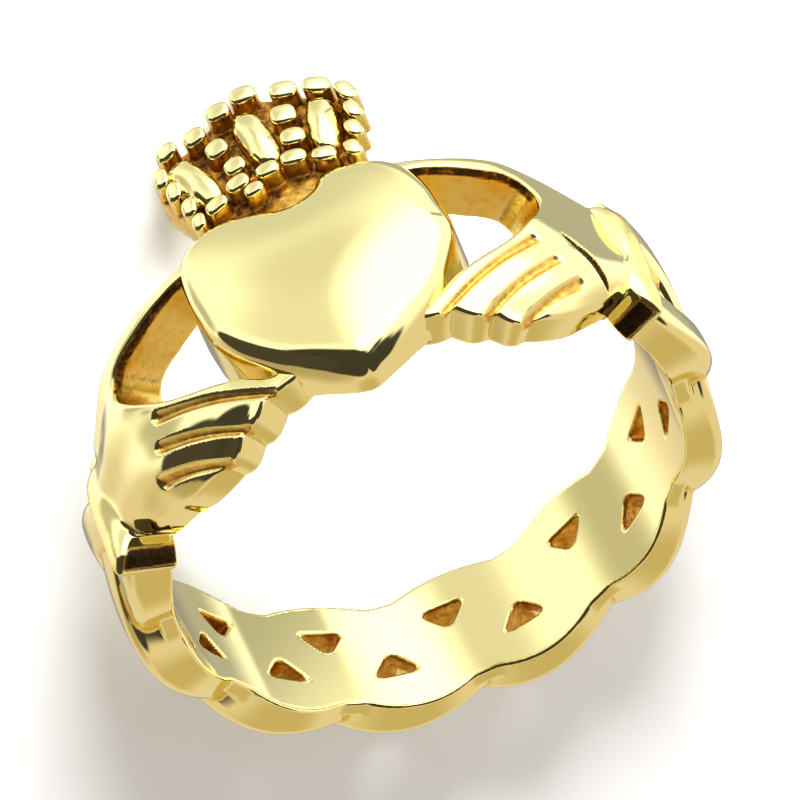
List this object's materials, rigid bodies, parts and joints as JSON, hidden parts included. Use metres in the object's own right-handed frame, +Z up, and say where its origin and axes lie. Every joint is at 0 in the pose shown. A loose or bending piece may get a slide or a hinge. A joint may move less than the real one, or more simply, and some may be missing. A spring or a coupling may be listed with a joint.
{
  "type": "claddagh finger ring with a braided band",
  "caption": "Gold-tone finger ring whose two cuffed hands hold a domed, crowned heart on an openwork plaited band",
  "frame": {"origin": "On the surface that the ring lies on, under the middle of its outer box", "axes": "+X across the ring from hand to hand, +Y towards the heart's side of the band, +Z up. The ring lies on the flat tip of its crown and on the far edge of its band, so the finger hole leans 17 degrees from upright"},
  "size_m": [0.0226, 0.0246, 0.014],
  "materials": {
    "gold_tone": "polished"
  },
  "bodies": {
    "root": {"ring": "gold_tone"}
  },
  "joints": []
}
